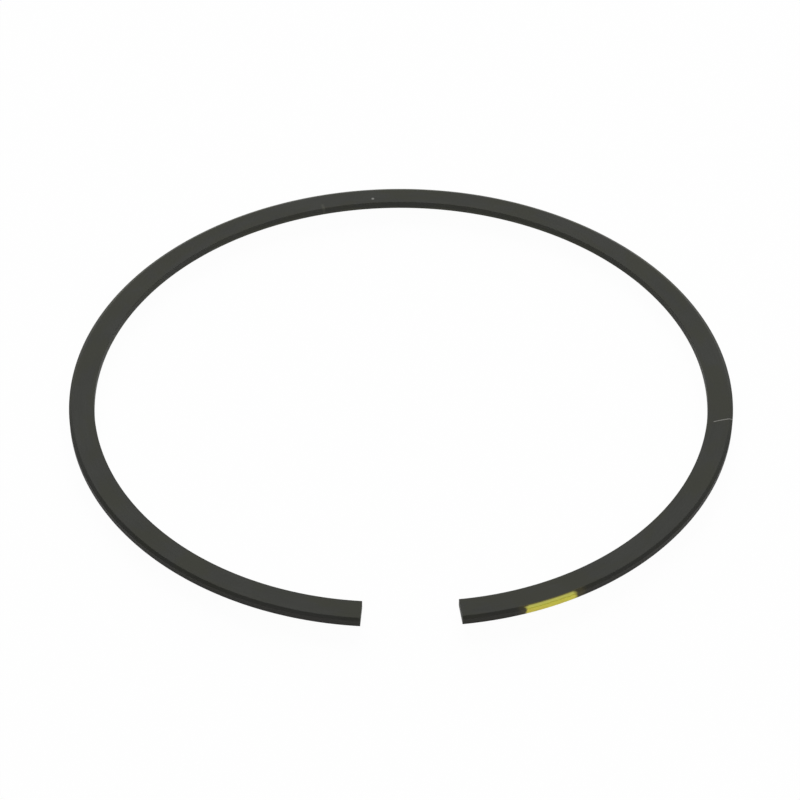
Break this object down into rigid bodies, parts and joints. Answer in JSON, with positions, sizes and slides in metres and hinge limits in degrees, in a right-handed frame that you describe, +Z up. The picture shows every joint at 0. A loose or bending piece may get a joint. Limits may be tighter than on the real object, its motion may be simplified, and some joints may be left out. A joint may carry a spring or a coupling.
{
  "type": "oil control ring",
  "caption": "One-piece split piston ring of rectangular section with a bevelled running edge, lying free with its ends sprung apart.",
  "frame": {"origin": "centre of the free ring's outline, on its lower side face", "axes": "+Z up through the ring, away from the side it lies on; the gap between the ends is on -Y, and the ring's back on +Y"},
  "size_m": [0.132, 0.1284, 0.0018],
  "materials": {
    "ring": "dark grey phosphated, fine matt grain, with a dab of yellow paint on the running face beside the gap"
  },
  "bodies": {
    "root": {"ring": "ring"}
  },
  "joints": []
}
